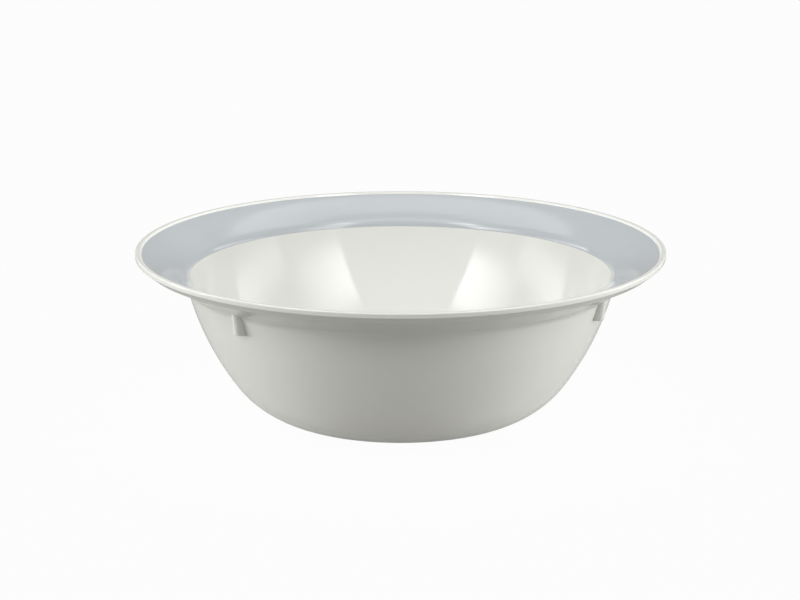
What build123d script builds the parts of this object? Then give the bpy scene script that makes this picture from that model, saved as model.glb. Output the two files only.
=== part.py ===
from build123d import *
from math import asin, cos, radians, sin, sqrt
import os

# A round serving bowl of white melamine with a wide flared rim, a coloured band on the rim,
# three stacking lugs under it and a soft ring in the foot.
# Millimetres, +Z up, origin on the surface that the bowl stands on, at the bowl's axis.

# Shell, from the base's underside up to the neck, the crease under the rim
wall = 2.2
base_diameter = 84.2
shell_height = 66.6
corner_radius = 47.2
wall_radius = 136.0
wall_lean = 36.5

# Rim: a sheet that flares from the neck, steeper at the neck than at the lip
rim_width = 24.6
rim_thickness = 5.53
rim_slope = 33.64
rim_curve = 79.0
mouth_rounding = 5.5
neck_rounding = 5.0

# Lip: a thicker edge, with its top raised over the band and a bevel below
lip_land = 3.2
lip_rise = 0.9
lip_inner_run = 0.7
lip_face = 2.4
lip_face_lean = 0.2
bevel_width = 4.8
bevel_drop = 3.6
lip_step = 0.4
lip_inner_rounding = 0.9
lip_top_rounding = 0.8
arris_rounding = 0.3
bevel_rounding = 0.3

# Coloured band, flush in a seat on the rim and over the rounding of the mouth
band_thickness = 0.5

# Stacking lugs
lug_angles = (99.6, 222.8, 336.4)
lug_width = 6.7
lug_length = 8.6
lug_proud = 4.1
lug_draft = 7.0
lug_rounding = 0.4

# Foot, and the soft ring bonded in its groove
foot_inset = 1.6
foot_wall = 1.65
foot_depth = 1.4
foot_rounding = 0.4
ring_width = 3.0
ring_height = 1.6
ring_proud = 0.4
ring_rounding = 0.3
groove_clearance = 0.1


def at(r, z):
    return Vector(r, 0, z)


def arc(centre, start, end):
    """The shorter arc from start to end about centre."""
    middle = (start - centre) + (end - centre)
    return ThreePointArc(start, centre + middle.normalized() * (start - centre).length, end)


def meet(centre_a, radius_a, centre_b, radius_b):
    """The higher of the two points where two circles of the section cross."""
    line = centre_b - centre_a
    along = (line.length**2 + radius_a**2 - radius_b**2) / (2 * line.length)
    aside = sqrt(radius_a**2 - along**2)
    unit = line.normalized()
    square = at(-unit.Z, unit.X)
    foot = centre_a + unit * along
    points = [foot + square * aside, foot - square * aside]
    return max(points, key=lambda point: point.Z)


def toward(centre, point, radius):
    return centre + (point - centre).normalized() * radius


def limited(rounding, *faces):
    """A rounding, no larger than the faces beside it leave room for."""
    return min(rounding, *(0.6 * face for face in faces))


def turned(edges):
    """A solid turned about the bowl's axis from the edges of half its section."""
    return revolve(Face(Wire(edges)), Axis.Z)


# Heights of the base's underside, of the eating floor and of the neck
base_z = foot_depth + ring_proud
floor_z = base_z + wall
neck_z = base_z + shell_height
base_radius = base_diameter / 2

# Centres of the rounded base corner and of the wall above it, which share a tangent
corner_centre = at(base_radius, base_z + corner_radius)
lean = at(cos(radians(wall_lean)), -sin(radians(wall_lean)))
wall_centre = corner_centre - lean * (wall_radius - corner_radius)
inner_radius = wall_radius - wall


def wall_face(z, radius):
    """The point of a wall face of the given curve at a height."""
    return at(wall_centre.X + sqrt(radius**2 - (z - wall_centre.Z) ** 2), z)


# Rim: its top is a circle that passes over the neck at the rim's thickness
neck = wall_face(neck_z, wall_radius)
slope = at(sin(radians(rim_slope)), -cos(radians(rim_slope)))
rim_centre = neck - slope * rim_thickness + slope * rim_curve
lip_radius = neck.X + rim_width


def on_rim(distance, radius):
    """The point at a distance from the rim's centre, in line with the rim's top at a radius."""
    turn = asin((rim_centre.X - radius) / rim_curve)
    return rim_centre + at(-sin(turn), cos(turn)) * distance


# Lip, from the band's outer edge round to the rim's underside
band_edge = on_rim(rim_curve, lip_radius - lip_land)
lip_z = band_edge.Z + lip_rise
lip_inner = at(band_edge.X + lip_inner_run, lip_z)
lip_outer = at(lip_radius, lip_z)
arris = at(lip_radius - lip_face_lean, lip_z - lip_face)
bevel_end = arris - at(bevel_width, bevel_drop)
step_end = bevel_end + at(-lip_step / 2, lip_step)

# Rounding where the rim's top turns down into the bowl
mouth_centre = meet(rim_centre, rim_curve - mouth_rounding, wall_centre, inner_radius + mouth_rounding)
mouth_on_rim = toward(rim_centre, mouth_centre, rim_curve)
mouth_on_wall = toward(wall_centre, mouth_centre, inner_radius)

# Foot, its groove and the soft ring in the groove
foot_outer = base_radius - foot_inset
groove_outer = foot_outer - foot_wall
ring_outer = groove_outer - groove_clearance
ring_inner = ring_outer - ring_width
groove_inner = ring_inner - groove_clearance
foot_inner = groove_inner - foot_wall


def bowl_shell():
    """Base, wall, rim and lip as one turned moulding."""
    outer_joint = corner_centre + lean * corner_radius
    inner_joint = corner_centre + lean * (corner_radius - wall)
    base_edge = at(base_radius, base_z)
    floor_edge = at(base_radius, floor_z)
    section = Face(Wire([
        Line(at(0, base_z), base_edge),
        arc(corner_centre, base_edge, outer_joint),
        arc(wall_centre, outer_joint, neck),
        Line(neck, step_end),
        Line(step_end, bevel_end),
        Line(bevel_end, arris),
        Line(arris, lip_outer),
        Line(lip_outer, lip_inner),
        Line(lip_inner, band_edge),
        arc(rim_centre, band_edge, mouth_on_rim),
        arc(mouth_centre, mouth_on_rim, mouth_on_wall),
        arc(wall_centre, mouth_on_wall, inner_joint),
        arc(corner_centre, inner_joint, floor_edge),
        Line(floor_edge, at(0, floor_z)),
        Line(at(0, floor_z), at(0, base_z)),
    ]))
    lip_top = lip_land - lip_inner_run
    roundings = [
        (neck, neck_rounding),
        (bevel_end, limited(bevel_rounding, lip_step)),
        (arris, limited(arris_rounding, lip_face, bevel_drop)),
        (lip_outer, limited(lip_top_rounding, lip_face, lip_top)),
        (lip_inner, limited(lip_inner_rounding, 2 * lip_rise, lip_top)),
    ]
    for corner, radius in roundings:
        section = section.fillet_2d(radius, [section.vertices().sort_by_distance(corner)[0]])
    return revolve(section, Axis.Z)


def hoop(inner, outer, low, high):
    """A ring of square section between two radii and two heights."""
    return turned([
        Line(at(inner, low), at(outer, low)),
        Line(at(outer, low), at(outer, high)),
        Line(at(outer, high), at(inner, high)),
        Line(at(inner, high), at(inner, low)),
    ])


def foot():
    """Foot under the base, rounded where it nears the table."""
    body = hoop(foot_inner, foot_outer, ring_proud, base_z + wall / 2)
    return fillet(body.edges().group_by(Axis.Z)[0], limited(foot_rounding, foot_wall, foot_depth))


def stacking_lug(angle):
    """Half-round rib on the wall under the rim, cut flat below, with moulding draft."""
    low = neck_z - lug_length
    high = neck_z + 0.45 * rim_thickness
    outer = wall_face(low, wall_radius).X + lug_proud
    tilt = Vector(sin(radians(lug_draft)), 0, cos(radians(lug_draft)))
    centre = Pos(outer - lug_width / 2, 0, low)
    root = Rectangle(lug_proud + wall, lug_width, align=(Align.MAX, Align.CENTER))
    rib = extrude(centre * (Circle(lug_width / 2) + root), (high - low) / tilt.Z, dir=tilt)
    rib = fillet(rib.edges().group_by(Axis.Z)[0].sort_by(Axis.X)[1:], limited(lug_rounding, lug_width))
    core_radius = wall_radius - wall / 2
    core_low = wall_face(low - lug_width, core_radius)
    core_high = wall_face(high + lug_width, core_radius)
    core = turned([
        Line(at(0, core_low.Z), core_low),
        arc(wall_centre, core_low, core_high),
        Line(core_high, at(0, core_high.Z)),
        Line(at(0, core_high.Z), at(0, core_low.Z)),
    ])
    return Rot(0, 0, angle) * (rib - core)


def rim_band():
    """Coloured layer on the rim's top, from the lip over the rounding of the mouth."""
    seat = rim_curve - band_thickness
    edge_below = on_rim(seat, band_edge.X)
    turn_below = toward(rim_centre, mouth_centre, seat)
    end_below = toward(mouth_centre, mouth_on_wall, mouth_rounding - band_thickness)
    return turned([
        arc(mouth_centre, mouth_on_wall, mouth_on_rim),
        arc(rim_centre, mouth_on_rim, band_edge),
        Line(band_edge, edge_below),
        arc(rim_centre, edge_below, turn_below),
        arc(mouth_centre, turn_below, end_below),
        Line(end_below, mouth_on_wall),
    ])


def foot_ring():
    """Soft ring that fills the foot's groove and stands a little proud of it."""
    ring = hoop(ring_inner, ring_outer, 0, ring_height)
    return fillet(ring.edges().group_by(Axis.Z)[0], limited(ring_rounding, ring_width / 2, ring_height))


def serving_bowl(band):
    """The white moulding, with the band's seat and the ring's groove cut into it."""
    bowl = bowl_shell() + foot()
    for angle in lug_angles:
        bowl += stacking_lug(angle)
    return bowl - band - hoop(groove_inner, groove_outer, 0, ring_height)


os.makedirs("parts", exist_ok=True)
band = rim_band()
parts = {
    "serving_bowl": serving_bowl(band),
    "rim_band": band,
    "non_slip_foot_ring": foot_ring(),
}
for name, shape in parts.items():
    export_step(shape, f"parts/{name}.step")
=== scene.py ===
import bmesh
import bpy
from math import asin, atan2, cos, hypot, pi, radians, sin, sqrt, tan
from mathutils import Matrix, Vector
from mathutils.geometry import intersect_sphere_sphere_2d


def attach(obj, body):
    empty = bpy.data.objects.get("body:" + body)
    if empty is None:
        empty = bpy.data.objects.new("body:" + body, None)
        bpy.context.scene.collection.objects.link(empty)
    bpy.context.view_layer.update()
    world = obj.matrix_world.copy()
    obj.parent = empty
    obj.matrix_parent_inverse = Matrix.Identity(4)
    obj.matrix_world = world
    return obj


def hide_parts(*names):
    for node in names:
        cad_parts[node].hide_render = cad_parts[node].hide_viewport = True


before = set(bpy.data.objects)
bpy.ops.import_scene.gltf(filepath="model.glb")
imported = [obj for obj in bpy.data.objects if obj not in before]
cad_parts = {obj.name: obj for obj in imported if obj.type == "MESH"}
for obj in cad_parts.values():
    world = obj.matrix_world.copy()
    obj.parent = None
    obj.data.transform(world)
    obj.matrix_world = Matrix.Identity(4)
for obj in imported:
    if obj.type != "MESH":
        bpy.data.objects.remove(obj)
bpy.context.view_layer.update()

# White bowl: one compression moulding of glossy melamine, turned in shape. It holds the base, the
# curved wall, the flared rim with the band's seat, the thicker lip with its bevel, and the foot
# with a groove for the soft ring. Sizes are millimetres of radius and height over the table.
MM = 0.001
TURN_STEPS = 288
CRISP_CORNER = radians(32)

# Points closer than the weld are merged, and points within touch of a corner belong to its ring
WELD, TOUCH = 0.004, 0.02

BASE_RADIUS, BASE_Z, NECK_Z, WALL = 42.1, 1.8, 68.4, 2.2
CORNER_RADIUS, WALL_RADIUS, WALL_LEAN = 47.2, 136.0, radians(36.5)
RIM_THICKNESS, RIM_CURVE, RIM_SLOPE = 5.53, 79.0, radians(33.64)
BAND_OUTER, BAND_THICKNESS, MOUTH_ROUNDING = 123.947, 0.5, 5.5
LIP_RADIUS, LIP_RISE, LIP_INNER_RUN = 127.09, 0.899, 0.7
LIP_FACE, LIP_FACE_LEAN, LIP_STEP = 2.399, 0.2, 0.4
BEVEL_WIDTH, BEVEL_DROP = 4.743, 3.6
FOOT_INNER, FOOT_OUTER, FOOT_LOW, FOOT_ROUNDING = 34.0, 40.5, 0.4, 0.4
GROOVE_INNER, GROOVE_OUTER, GROOVE_ROOF = 35.65, 38.85, 1.6

# Base corner and wall: two arcs that share a tangent, with the eating floor a wall's width above
FLOOR_Z = BASE_Z + WALL
INNER_RADIUS = WALL_RADIUS - WALL
LEAN = Vector((cos(WALL_LEAN), -sin(WALL_LEAN)))
CORNER_CENTRE = Vector((BASE_RADIUS, BASE_Z + CORNER_RADIUS))
WALL_CENTRE = CORNER_CENTRE - LEAN * (WALL_RADIUS - CORNER_RADIUS)
OUTER_JOINT = CORNER_CENTRE + LEAN * CORNER_RADIUS
INNER_JOINT = OUTER_JOINT - LEAN * WALL


def wall_point(height):
    """The point of the wall's outer face at a height."""
    return Vector((WALL_CENTRE.x + sqrt(WALL_RADIUS**2 - (height - WALL_CENTRE.y) ** 2), height))


def toward(centre, point, distance):
    """The point at a distance from a centre, on the line to another point."""
    return centre + (point - centre).normalized() * distance


# Rim: its top is an arc that passes over the neck, the crease under the rim, at the rim's thickness
NECK = wall_point(NECK_Z)
SLOPE = Vector((sin(RIM_SLOPE), -cos(RIM_SLOPE)))
RIM_CENTRE = NECK + SLOPE * (RIM_CURVE - RIM_THICKNESS)

# Band's seat: from the lip along the rim's top and over the rounding of the mouth
SEAT_CURVE = RIM_CURVE - BAND_THICKNESS
EDGE_TURN = asin((RIM_CENTRE.x - BAND_OUTER) / RIM_CURVE)
BAND_EDGE = RIM_CENTRE + Vector((-sin(EDGE_TURN), cos(EDGE_TURN))) * RIM_CURVE
BAND_EDGE_BELOW = toward(RIM_CENTRE, BAND_EDGE, SEAT_CURVE)
MOUTH_CENTRE = max(
    intersect_sphere_sphere_2d(
        RIM_CENTRE, RIM_CURVE - MOUTH_ROUNDING, WALL_CENTRE, INNER_RADIUS + MOUTH_ROUNDING,
    ),
    key=lambda point: point.y,
)
MOUTH_ON_RIM = toward(RIM_CENTRE, MOUTH_CENTRE, RIM_CURVE)
MOUTH_ON_RIM_BELOW = toward(RIM_CENTRE, MOUTH_CENTRE, SEAT_CURVE)
MOUTH_ON_WALL = toward(WALL_CENTRE, MOUTH_CENTRE, INNER_RADIUS)
MOUTH_ON_WALL_BELOW = toward(MOUTH_CENTRE, MOUTH_ON_WALL, MOUTH_ROUNDING - BAND_THICKNESS)

# Lip: its top stands over the band, and its bevel ends in a small step on the rim's underside
LIP_Z = BAND_EDGE.y + LIP_RISE
LIP_INNER = Vector((BAND_EDGE.x + LIP_INNER_RUN, LIP_Z))
LIP_OUTER = Vector((LIP_RADIUS, LIP_Z))
ARRIS = LIP_OUTER - Vector((LIP_FACE_LEAN, LIP_FACE))
BEVEL_END = ARRIS - Vector((BEVEL_WIDTH, BEVEL_DROP))
STEP_END = BEVEL_END + Vector((-LIP_STEP / 2, LIP_STEP))


def first_point(bm, point):
    """Start a half section at a radius and a height."""
    return bm.verts.new((point[0] * MM, 0, point[1] * MM))


def line_to(bm, last, point, runs=1):
    """Carry the section on to a point by a straight line, in one or more runs."""
    start, end = last.co.copy(), Vector((point[0] * MM, 0, point[1] * MM))
    for run in range(1, runs + 1):
        last = bmesh.ops.extrude_vert_indiv(bm, verts=[last])["verts"][0]
        last.co = start.lerp(end, run / runs)
    return last


def arc_to(bm, last, centre, point, steps):
    """Carry the section on by an arc about a centre."""
    start_angle = atan2(last.co.x / MM - centre[0], last.co.z / MM - centre[1])
    end_angle = atan2(point[0] - centre[0], point[1] - centre[1])
    turned = bmesh.ops.spin(
        bm, geom=[last], cent=(centre[0] * MM, 0, centre[1] * MM), axis=(0, 1, 0),
        angle=end_angle - start_angle, steps=steps,
    )
    return [v for v in turned["geom_last"] if isinstance(v, bmesh.types.BMVert)][0]


def turn_section(bm):
    """Turn the half section right round the bowl's axis and close its seam and poles."""
    bmesh.ops.spin(
        bm, geom=bm.verts[:] + bm.edges[:], cent=(0, 0, 0), axis=(0, 0, 1),
        angle=2 * pi, steps=TURN_STEPS, use_merge=True,
    )
    bmesh.ops.remove_doubles(bm, verts=bm.verts[:], dist=WELD * MM)
    bmesh.ops.recalc_face_normals(bm, faces=bm.faces[:])


def round_edges(bm, edges, reach, segments):
    """Round edges, as far as a reach along the faces on both sides."""
    bmesh.ops.bevel(
        bm, geom=edges, offset=reach * MM, offset_type="OFFSET", affect="EDGES",
        segments=segments, profile=0.5, material=-1,
    )


def round_ring(bm, corner, reach, segments):
    """Round the ring of edges at one corner of the section."""
    radius, height = corner[0] * MM, corner[1] * MM
    ring = []
    for edge in bm.edges:
        misses = [hypot(hypot(v.co.x, v.co.y) - radius, v.co.z - height) for v in edge.verts]
        if max(misses) < TOUCH * MM:
            ring.append(edge)
    round_edges(bm, ring, reach, segments)


def finish_piece(bm, name, material):
    """Make the mesh an object with smooth faces and crisp corners."""
    mesh = bpy.data.meshes.new(name)
    bm.to_mesh(mesh)
    bm.free()
    mesh.shade_smooth()
    mesh.set_sharp_from_angle(angle=CRISP_CORNER)
    mesh.materials.append(material)
    piece = bpy.data.objects.new(name, mesh)
    bpy.context.scene.collection.objects.link(piece)
    return piece


def even_normals(piece):
    """Keep the flat and the curved runs clean where they meet small roundings."""
    weighted = piece.modifiers.new("even_normals", "WEIGHTED_NORMAL")
    weighted.keep_sharp = True


bm = bmesh.new()
last = first_point(bm, (0, BASE_Z))
last = line_to(bm, last, (FOOT_INNER, BASE_Z), runs=3)
last = line_to(bm, last, (FOOT_INNER, FOOT_LOW))
last = line_to(bm, last, (GROOVE_INNER, FOOT_LOW))
last = line_to(bm, last, (GROOVE_INNER, GROOVE_ROOF))
last = line_to(bm, last, (GROOVE_OUTER, GROOVE_ROOF))
last = line_to(bm, last, (GROOVE_OUTER, FOOT_LOW))
last = line_to(bm, last, (FOOT_OUTER, FOOT_LOW))
last = line_to(bm, last, (FOOT_OUTER, BASE_Z))
last = line_to(bm, last, (BASE_RADIUS, BASE_Z))
last = arc_to(bm, last, CORNER_CENTRE, OUTER_JOINT, steps=20)
last = arc_to(bm, last, WALL_CENTRE, NECK, steps=22)
last = line_to(bm, last, STEP_END, runs=6)
last = line_to(bm, last, BEVEL_END)
last = line_to(bm, last, ARRIS, runs=2)
last = line_to(bm, last, LIP_OUTER)
last = line_to(bm, last, LIP_INNER)
last = line_to(bm, last, BAND_EDGE)
last = line_to(bm, last, BAND_EDGE_BELOW)
last = arc_to(bm, last, RIM_CENTRE, MOUTH_ON_RIM_BELOW, steps=8)
last = arc_to(bm, last, MOUTH_CENTRE, MOUTH_ON_WALL_BELOW, steps=6)
last = line_to(bm, last, MOUTH_ON_WALL)
last = arc_to(bm, last, WALL_CENTRE, INNER_JOINT, steps=24)
last = arc_to(bm, last, CORNER_CENTRE, (BASE_RADIUS, FLOOR_Z), steps=20)
last = line_to(bm, last, (0, FLOOR_Z), runs=3)
turn_section(bm)

# Corner of the section, reach of its rounding along the faces on both sides, and segments
for corner, reach, segments in (
    (NECK, 2.16, 10),
    (BEVEL_END, 0.26, 4),
    (ARRIS, 0.14, 4),
    (LIP_OUTER, 0.74, 7),
    (LIP_INNER, 0.44, 5),
    ((FOOT_INNER, FOOT_LOW), FOOT_ROUNDING, 4),
    ((FOOT_OUTER, FOOT_LOW), FOOT_ROUNDING, 4),
):
    round_ring(bm, corner, reach, segments)


def moulded_finish(name, pale, deep, cloud_scale, rough_low, rough_high, grain, ior):
    """A moulded finish: faint clouding of the colour, uneven gloss and a fine skin."""
    material = bpy.data.materials.new(name)
    material.use_nodes = True
    nodes, links = material.node_tree.nodes, material.node_tree.links
    shader = nodes["Principled BSDF"]
    shader.inputs["IOR"].default_value = ior
    place = nodes.new("ShaderNodeTexCoord")

    cloud = nodes.new("ShaderNodeTexNoise")
    cloud.inputs["Scale"].default_value = cloud_scale
    cloud.inputs["Detail"].default_value = 3
    links.new(place.outputs["Object"], cloud.inputs["Vector"])
    colour = nodes.new("ShaderNodeValToRGB")
    colour.color_ramp.elements[0].position = 0.35
    colour.color_ramp.elements[0].color = (*deep, 1)
    colour.color_ramp.elements[1].position = 0.65
    colour.color_ramp.elements[1].color = (*pale, 1)
    links.new(cloud.outputs["Fac"], colour.inputs["Fac"])
    links.new(colour.outputs["Color"], shader.inputs["Base Color"])

    gloss = nodes.new("ShaderNodeTexNoise")
    gloss.inputs["Scale"].default_value = 55
    gloss.inputs["Detail"].default_value = 4
    links.new(place.outputs["Object"], gloss.inputs["Vector"])
    rough = nodes.new("ShaderNodeMapRange")
    rough.inputs["From Min"].default_value = 0.3
    rough.inputs["From Max"].default_value = 0.7
    rough.inputs["To Min"].default_value = rough_low
    rough.inputs["To Max"].default_value = rough_high
    links.new(gloss.outputs["Fac"], rough.inputs["Value"])
    links.new(rough.outputs["Result"], shader.inputs["Roughness"])

    skin = nodes.new("ShaderNodeTexNoise")
    skin.inputs["Scale"].default_value = 420
    skin.inputs["Detail"].default_value = 2
    links.new(place.outputs["Object"], skin.inputs["Vector"])
    bump = nodes.new("ShaderNodeBump")
    bump.inputs["Strength"].default_value = grain
    bump.inputs["Distance"].default_value = 0.1 * MM
    links.new(skin.outputs["Fac"], bump.inputs["Height"])
    links.new(bump.outputs["Normal"], shader.inputs["Normal"])
    return material


melamine = moulded_finish(
    "white_melamine", pale=(0.80, 0.805, 0.77), deep=(0.785, 0.79, 0.755),
    cloud_scale=14, rough_low=0.06, rough_high=0.11, grain=0.06, ior=1.55,
)
bowl = finish_piece(bm, "white_bowl", melamine)

# Stacking lugs: three half-round ribs of the same moulding, on the wall under the rim. They are
# cut flat below, where the rim of the next bowl down stops, and lean out by the mould's draft.
LUG_ANGLES = (99.6, 222.8, 336.4)
LUG_RADIUS, LUG_LENGTH, LUG_PROUD = 3.35, 8.6, 4.1
LUG_IN_RIM, LUG_IN_WALL, LUG_DRAFT = 2.48, 1.0, radians(7)
LUG_SIDES, LUG_ROUNDING = 48, 0.35
LUG_LOW = NECK_Z - LUG_LENGTH
LUG_CENTRE = wall_point(LUG_LOW).x + LUG_PROUD - LUG_RADIUS
LUG_DEPTH = LUG_LENGTH + LUG_IN_RIM

for angle in LUG_ANGLES:
    bm = bmesh.new()
    rib = bmesh.ops.create_cone(
        bm, cap_ends=True, cap_tris=False, segments=LUG_SIDES,
        radius1=LUG_RADIUS * MM, radius2=LUG_RADIUS * MM, depth=LUG_DEPTH * MM,
    )
    for vert in rib["verts"]:
        vert.co.x = max(vert.co.x, -LUG_IN_WALL * MM)
        vert.co.z += LUG_DEPTH / 2 * MM
        vert.co.x += vert.co.z * tan(LUG_DRAFT)
    bmesh.ops.remove_doubles(bm, verts=bm.verts[:], dist=WELD * MM)
    low_ring = [e for e in bm.edges if all(v.co.z < TOUCH * MM for v in e.verts)]
    round_edges(bm, low_ring, LUG_ROUNDING, segments=4)
    bmesh.ops.translate(bm, verts=bm.verts[:], vec=(LUG_CENTRE * MM, 0, LUG_LOW * MM))
    lug_turn = Matrix.Rotation(radians(angle), 3, "Z")
    bmesh.ops.rotate(bm, verts=bm.verts[:], cent=(0, 0, 0), matrix=lug_turn)
    bmesh.ops.recalc_face_normals(bm, faces=bm.faces[:])
    lug = finish_piece(bm, "stacking_lug", melamine)
    join = bowl.modifiers.new("lug", "BOOLEAN")
    join.operation = "UNION"
    join.solver = "MANIFOLD"
    join.object = lug
    depsgraph = bpy.context.evaluated_depsgraph_get()
    joined = bpy.data.meshes.new_from_object(bowl.evaluated_get(depsgraph))
    bowl.modifiers.clear()
    bowl.data = joined
    bpy.data.objects.remove(lug)

bowl.data.name = "white_bowl"
bowl.data.set_sharp_from_angle(angle=CRISP_CORNER)
even_normals(bowl)
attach(bowl, "root")
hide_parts("serving_bowl")

# Rim band: a blue-grey printed layer that is moulded into the rim's top under the same gloss.
# It lies flush in its seat, from the lip over the rounding of the mouth to the top of the wall.
bm = bmesh.new()
first = first_point(bm, BAND_EDGE_BELOW)
last = line_to(bm, first, BAND_EDGE)
last = arc_to(bm, last, RIM_CENTRE, MOUTH_ON_RIM, steps=14)
last = arc_to(bm, last, MOUTH_CENTRE, MOUTH_ON_WALL, steps=12)
last = line_to(bm, last, MOUTH_ON_WALL_BELOW)
last = arc_to(bm, last, MOUTH_CENTRE, MOUTH_ON_RIM_BELOW, steps=6)
last = arc_to(bm, last, RIM_CENTRE, BAND_EDGE_BELOW, steps=8)
bmesh.ops.remove_doubles(bm, verts=[first, last], dist=TOUCH * MM)
turn_section(bm)
band_print = moulded_finish(
    "blue_grey_band", pale=(0.50, 0.53, 0.557), deep=(0.48, 0.51, 0.537),
    cloud_scale=22, rough_low=0.06, rough_high=0.11, grain=0.06, ior=1.55,
)
band = finish_piece(bm, "rim_band_layer", band_print)
even_normals(band)
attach(band, "root")
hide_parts("rim_band")

# Foot ring: a soft grey elastomer hoop that is bonded in the foot's groove and stands a little
# proud, so that the bowl doesn't slide.
RING_INNER, RING_OUTER, RING_TOP, RING_ROUNDING = 35.75, 38.75, 1.6, 0.3

bm = bmesh.new()
first = first_point(bm, (RING_INNER, 0))
last = line_to(bm, first, (RING_OUTER, 0), runs=4)
last = line_to(bm, last, (RING_OUTER, RING_TOP))
last = line_to(bm, last, (RING_INNER, RING_TOP))
last = line_to(bm, last, (RING_INNER, 0))
bmesh.ops.remove_doubles(bm, verts=[first, last], dist=TOUCH * MM)
turn_section(bm)
for radius in (RING_INNER, RING_OUTER):
    round_ring(bm, (radius, 0), RING_ROUNDING, segments=4)
soft_ring = moulded_finish(
    "soft_ring", pale=(0.36, 0.37, 0.37), deep=(0.31, 0.32, 0.32),
    cloud_scale=60, rough_low=0.5, rough_high=0.62, grain=0.35, ior=1.5,
)
ring = finish_piece(bm, "foot_ring", soft_ring)
even_normals(ring)
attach(ring, "root")
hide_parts("non_slip_foot_ring")

# Floor: a plain pale studio sweep, with a painted pool of light close to the bowl, so that it
# lights the wall's foot. It keeps the bowl's shadow, and shows white to the camera and a softer
# white in reflections, since the floor under the bowl lies in its shade. Distances are metres.
FLOOR_REACH = 4.0
NEAR_PAINTED_LIGHT, FAR_PAINT = (0.57, 0.57, 0.54), (0.245, 0.245, 0.232)
NEAR_EDGE, FAR_EDGE = 0.06, 0.18
CAMERA_WHITE, MIRRORED_WHITE = 0.97, 0.26

bm = bmesh.new()
bmesh.ops.create_grid(bm, x_segments=1, y_segments=1, size=FLOOR_REACH)
floor_mesh = bpy.data.meshes.new("studio_floor")
bm.to_mesh(floor_mesh)
bm.free()
floor = bpy.data.objects.new("studio_floor", floor_mesh)
bpy.context.scene.collection.objects.link(floor)
floor_paint = bpy.data.materials.new("floor_paint")
floor_paint.use_nodes = True
nodes, links = floor_paint.node_tree.nodes, floor_paint.node_tree.links
nodes.clear()
spot = nodes.new("ShaderNodeTexCoord")
from_axis = nodes.new("ShaderNodeVectorMath")
from_axis.operation = "LENGTH"
links.new(spot.outputs["Object"], from_axis.inputs[0])
fade = nodes.new("ShaderNodeMapRange")
fade.inputs["From Min"].default_value = NEAR_EDGE
fade.inputs["From Max"].default_value = FAR_EDGE
links.new(from_axis.outputs["Value"], fade.inputs["Value"])
# Painted pool of light: the floor's paint goes from paler near the bowl to its own grey further out
painted_light_pool = nodes.new("ShaderNodeValToRGB")
painted_light_pool.color_ramp.elements[0].color = (*NEAR_PAINTED_LIGHT, 1)
painted_light_pool.color_ramp.elements[1].color = (*FAR_PAINT, 1)
links.new(fade.outputs["Result"], painted_light_pool.inputs["Fac"])
matt = nodes.new("ShaderNodeBsdfDiffuse")
links.new(painted_light_pool.outputs["Color"], matt.inputs["Color"])
white = nodes.new("ShaderNodeEmission")
white.inputs["Strength"].default_value = 1.0
ray = nodes.new("ShaderNodeLightPath")
mirrored = nodes.new("ShaderNodeMath")
mirrored.operation = "MAXIMUM"
links.new(ray.outputs["Is Glossy Ray"], mirrored.inputs[0])
links.new(ray.outputs["Is Transmission Ray"], mirrored.inputs[1])
dimmed = nodes.new("ShaderNodeMath")
dimmed.operation = "MULTIPLY"
dimmed.inputs[1].default_value = MIRRORED_WHITE
links.new(mirrored.outputs["Value"], dimmed.inputs[0])
seen = nodes.new("ShaderNodeMath")
seen.operation = "MAXIMUM"
links.new(ray.outputs["Is Camera Ray"], seen.inputs[0])
links.new(dimmed.outputs["Value"], seen.inputs[1])
share = nodes.new("ShaderNodeMath")
share.operation = "MULTIPLY"
share.inputs[1].default_value = CAMERA_WHITE
links.new(seen.outputs["Value"], share.inputs[0])
mix = nodes.new("ShaderNodeMixShader")
links.new(share.outputs["Value"], mix.inputs["Fac"])
links.new(matt.outputs["BSDF"], mix.inputs[1])
links.new(white.outputs["Emission"], mix.inputs[2])
out = nodes.new("ShaderNodeOutputMaterial")
links.new(mix.outputs["Shader"], out.inputs["Surface"])
floor_mesh.materials.append(floor_paint)

# Light: a large softbox on each side of the camera, brighter at its inner edge, soft panels and
# low strips at both sides, weaker panels high up, and a dim room, so that the front of the bowl
# falls into shade. All of them face the bowl from one distance.
LAMP_DISTANCE = 3.0
LAMP_AIM = Vector((0, 0, 0.06))
ROOM_GREY = (0.35, 0.35, 0.338)

# Name, degrees to the right of the camera, degrees over the table, width and height in metres,
# watts, light at the left and right edge, and the share of the height that fades out at each end
LAMPS = (
    ("left_softbox", -61.0, 32.5, 1.74, 1.89, 60.0, 0.1, 1.15, 0.36),
    ("right_softbox", 53.75, 31.5, 1.89, 2.01, 61.5, 1.05, 0.0, 0.38),
    ("left_flank", -101.0, 16.0, 2.94, 1.27, 28.0, 1.45, 0.55, 0.45),
    ("right_flank", 101.0, 16.0, 2.94, 1.27, 25.0, 0.6, 1.4, 0.45),
    ("left_strip", -100.5, 2.25, 1.55, 0.24, 49.0, 1.0, 1.0, 0.05),
    ("right_strip", 100.5, 2.25, 1.55, 0.24, 60.0, 1.0, 1.0, 0.05),
    ("back_panel", 180.0, 53.0, 2.09, 1.39, 8.6, 1.0, 1.0, 0.2),
    ("overhead", 0.0, 90.0, 2.4, 2.4, 19.0, 1.0, 1.0, 0.3),
    ("left_upper", -53.0, 57.0, 0.64, 0.95, 12.0, 1.0, 1.0, 0.15),
    ("right_upper", 46.0, 57.0, 0.70, 0.95, 13.0, 1.0, 1.0, 0.15),
)
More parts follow.
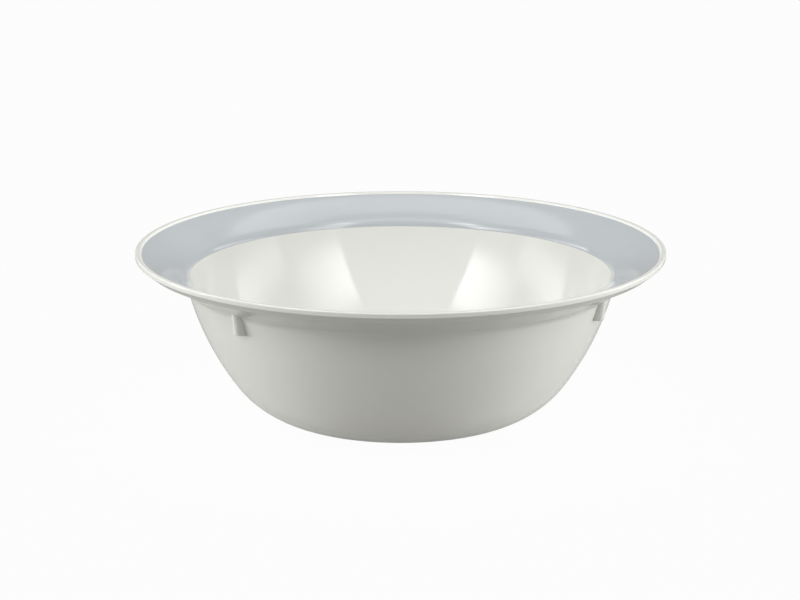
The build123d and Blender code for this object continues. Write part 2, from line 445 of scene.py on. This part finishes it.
for name, bearing, lift, width, height, power, left_edge, right_edge, soft in LAMPS:
    lamp = bpy.data.lights.new(name, "AREA")
    lamp.shape = "RECTANGLE"
    lamp.size = width
    lamp.size_y = height
    lamp.energy = power
    lamp.use_nodes = True
    nodes, links = lamp.node_tree.nodes, lamp.node_tree.links
    panel = nodes.new("ShaderNodeNewGeometry")
    place = nodes.new("ShaderNodeSeparateXYZ")
    links.new(panel.outputs["Parametric"], place.inputs["Vector"])
    across = nodes.new("ShaderNodeMapRange")
    across.inputs["To Min"].default_value = left_edge
    across.inputs["To Max"].default_value = right_edge
    links.new(place.outputs["X"], across.inputs["Value"])
    fold = nodes.new("ShaderNodeMath")
    fold.operation = "PINGPONG"
    fold.inputs[1].default_value = 0.5
    links.new(place.outputs["Y"], fold.inputs[0])
    upright = nodes.new("ShaderNodeMapRange")
    upright.interpolation_type = "SMOOTHSTEP"
    upright.inputs["From Max"].default_value = soft
    links.new(fold.outputs["Value"], upright.inputs["Value"])
    both = nodes.new("ShaderNodeMath")
    both.operation = "MULTIPLY"
    links.new(across.outputs["Result"], both.inputs[0])
    links.new(upright.outputs["Result"], both.inputs[1])
    links.new(both.outputs["Value"], nodes["Emission"].inputs["Strength"])
    softbox = bpy.data.objects.new(name, lamp)
    turn, rise = radians(bearing), radians(lift)
    to_lamp = Vector((cos(rise) * sin(turn), -cos(rise) * cos(turn), sin(rise)))
    softbox.location = LAMP_AIM + to_lamp * LAMP_DISTANCE
    softbox.rotation_euler = to_lamp.to_track_quat("Z", "Y").to_euler()
    bpy.context.scene.collection.objects.link(softbox)

world = bpy.data.worlds.new("studio_room")
world.use_nodes = True
bpy.context.scene.world = world
nodes, links = world.node_tree.nodes, world.node_tree.links
room = nodes["Background"]
room.inputs["Color"].default_value = (*ROOM_GREY, 1)
backdrop = nodes.new("ShaderNodeBackground")
backdrop.inputs["Color"].default_value = (1, 1, 1, 1)
ray = nodes.new("ShaderNodeLightPath")
mix = nodes.new("ShaderNodeMixShader")
links.new(ray.outputs["Is Camera Ray"], mix.inputs["Fac"])
links.new(room.outputs["Background"], mix.inputs[1])
links.new(backdrop.outputs["Background"], mix.inputs[2])
links.new(mix.outputs["Shader"], nodes["World Output"].inputs["Surface"])

# Camera: a long lens a little above the bowl, as in the photograph. The aim and the distance are
# metres, the lens and the sensor millimetres.
AIM = Vector((-0.0003, 0, 0.05907))
DISTANCE, ELEVATION = 1.781, radians(14.12)
LENS, SENSOR_WIDTH = 166.67, 36

camera_data = bpy.data.cameras.new("camera")
camera_data.sensor_width = SENSOR_WIDTH
camera_data.lens = LENS
camera = bpy.data.objects.new("camera", camera_data)
camera.location = AIM + Vector((0, -cos(ELEVATION), sin(ELEVATION))) * DISTANCE
camera.rotation_euler = (pi / 2 - ELEVATION, 0, 0)
bpy.context.scene.collection.objects.link(camera)
bpy.context.scene.camera = camera
bpy.context.scene.view_settings.view_transform = "Standard"
